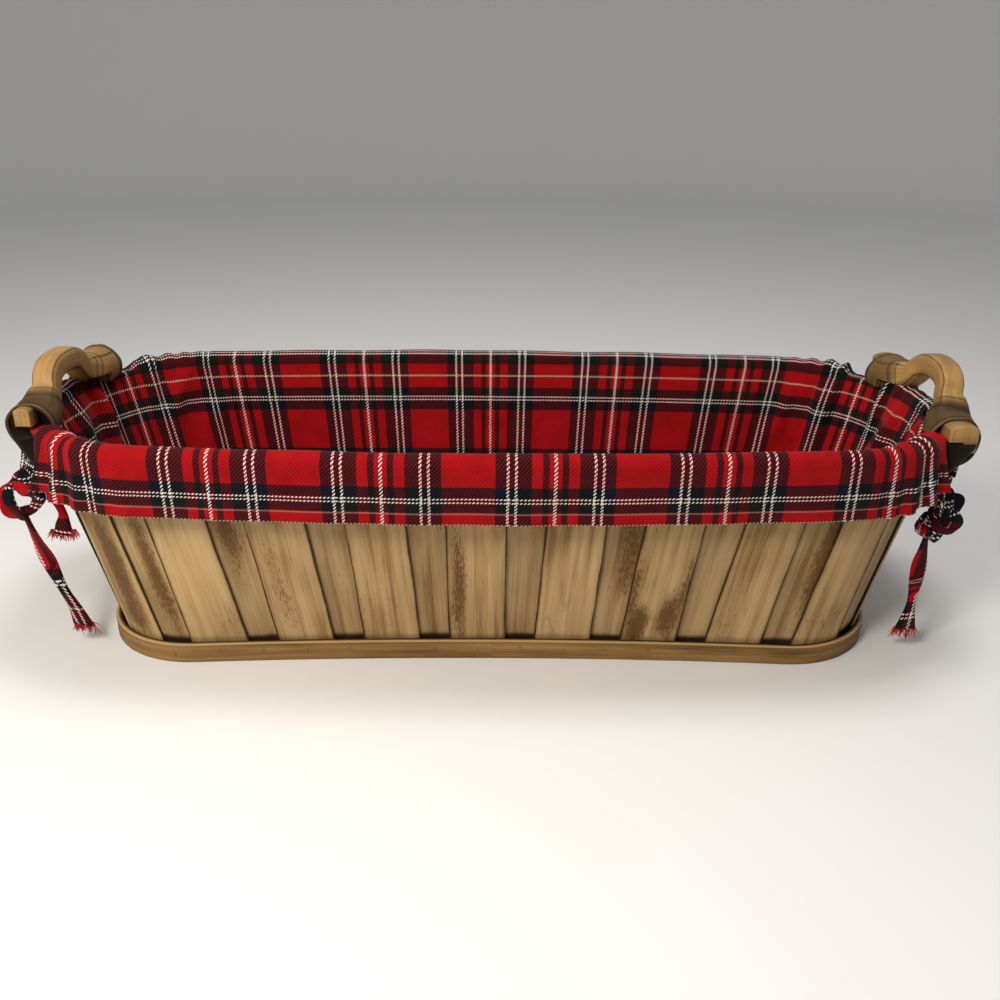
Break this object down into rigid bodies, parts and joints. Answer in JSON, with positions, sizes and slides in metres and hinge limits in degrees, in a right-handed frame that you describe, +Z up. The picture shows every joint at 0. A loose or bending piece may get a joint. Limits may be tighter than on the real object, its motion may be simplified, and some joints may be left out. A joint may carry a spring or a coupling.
{
  "type": "lined gift basket",
  "caption": "Long shallow basket of thin wood slats with a checked cloth liner folded over its rim, bent bamboo handles and cloth ties.",
  "frame": {"origin": "middle of the flat underside", "axes": "+Z up, +X along the long side to the right as seen from the front, -Y towards the viewer"},
  "size_m": [0.5076, 0.1996, 0.1515],
  "materials": {
    "outer_slat_wood": "matte, blond, with torched edges",
    "inner_slat_wood": "matte, blond, scorched at the foot",
    "hoop_wood": "matte brown",
    "rim_wood": "matte",
    "floor_board": "matte",
    "bamboo": "satin bamboo",
    "tartan_cloth": "woven red tartan twill",
    "tie_cloth": "woven red tartan twill"
  },
  "bodies": {
    "root": {"floor_panel": "floor_board", "bottom_hoop": "hoop_wood", "rim_hoop_outer": "rim_wood", "rim_hoop_inner": "rim_wood", "handle_left": "bamboo", "handle_right": "bamboo", "liner": "tartan_cloth", "tie_bow_left": "tie_cloth", "tie_tail_left": "tie_cloth", "tie_knot_right": "tie_cloth", "tie_tail_right": "tie_cloth", "tie_back_left": "tie_cloth", "tie_back_right": "tie_cloth", "outer_slat_01": "outer_slat_wood", "outer_slat_02": "outer_slat_wood", "outer_slat_03": "outer_slat_wood", "outer_slat_04": "outer_slat_wood", "outer_slat_05": "outer_slat_wood", "outer_slat_06": "outer_slat_wood", "outer_slat_07": "outer_slat_wood", "outer_slat_08": "outer_slat_wood", "outer_slat_09": "outer_slat_wood", "outer_slat_10": "outer_slat_wood", "outer_slat_11": "outer_slat_wood", "outer_slat_12": "outer_slat_wood", "outer_slat_13": "outer_slat_wood", "outer_slat_14": "outer_slat_wood", "outer_slat_15": "outer_slat_wood", "outer_slat_16": "outer_slat_wood", "outer_slat_17": "outer_slat_wood", "outer_slat_18": "outer_slat_wood", "outer_slat_19": "outer_slat_wood", "outer_slat_20": "outer_slat_wood", "outer_slat_21": "outer_slat_wood", "outer_slat_22": "outer_slat_wood", "outer_slat_23": "outer_slat_wood", "inner_slat_01": "inner_slat_wood", "inner_slat_02": "inner_slat_wood", "inner_slat_03": "inner_slat_wood", "inner_slat_04": "inner_slat_wood", "inner_slat_05": "inner_slat_wood", "inner_slat_06": "inner_slat_wood", "inner_slat_07": "inner_slat_wood", "inner_slat_08": "inner_slat_wood", "inner_slat_09": "inner_slat_wood", "inner_slat_10": "inner_slat_wood", "inner_slat_11": "inner_slat_wood", "inner_slat_12": "inner_slat_wood", "inner_slat_13": "inner_slat_wood", "inner_slat_14": "inner_slat_wood", "inner_slat_15": "inner_slat_wood", "inner_slat_16": "inner_slat_wood", "inner_slat_17": "inner_slat_wood", "inner_slat_18": "inner_slat_wood", "inner_slat_19": "inner_slat_wood", "inner_slat_20": "inner_slat_wood", "inner_slat_21": "inner_slat_wood", "inner_slat_22": "inner_slat_wood", "inner_slat_23": "inner_slat_wood"}
  },
  "joints": []
}
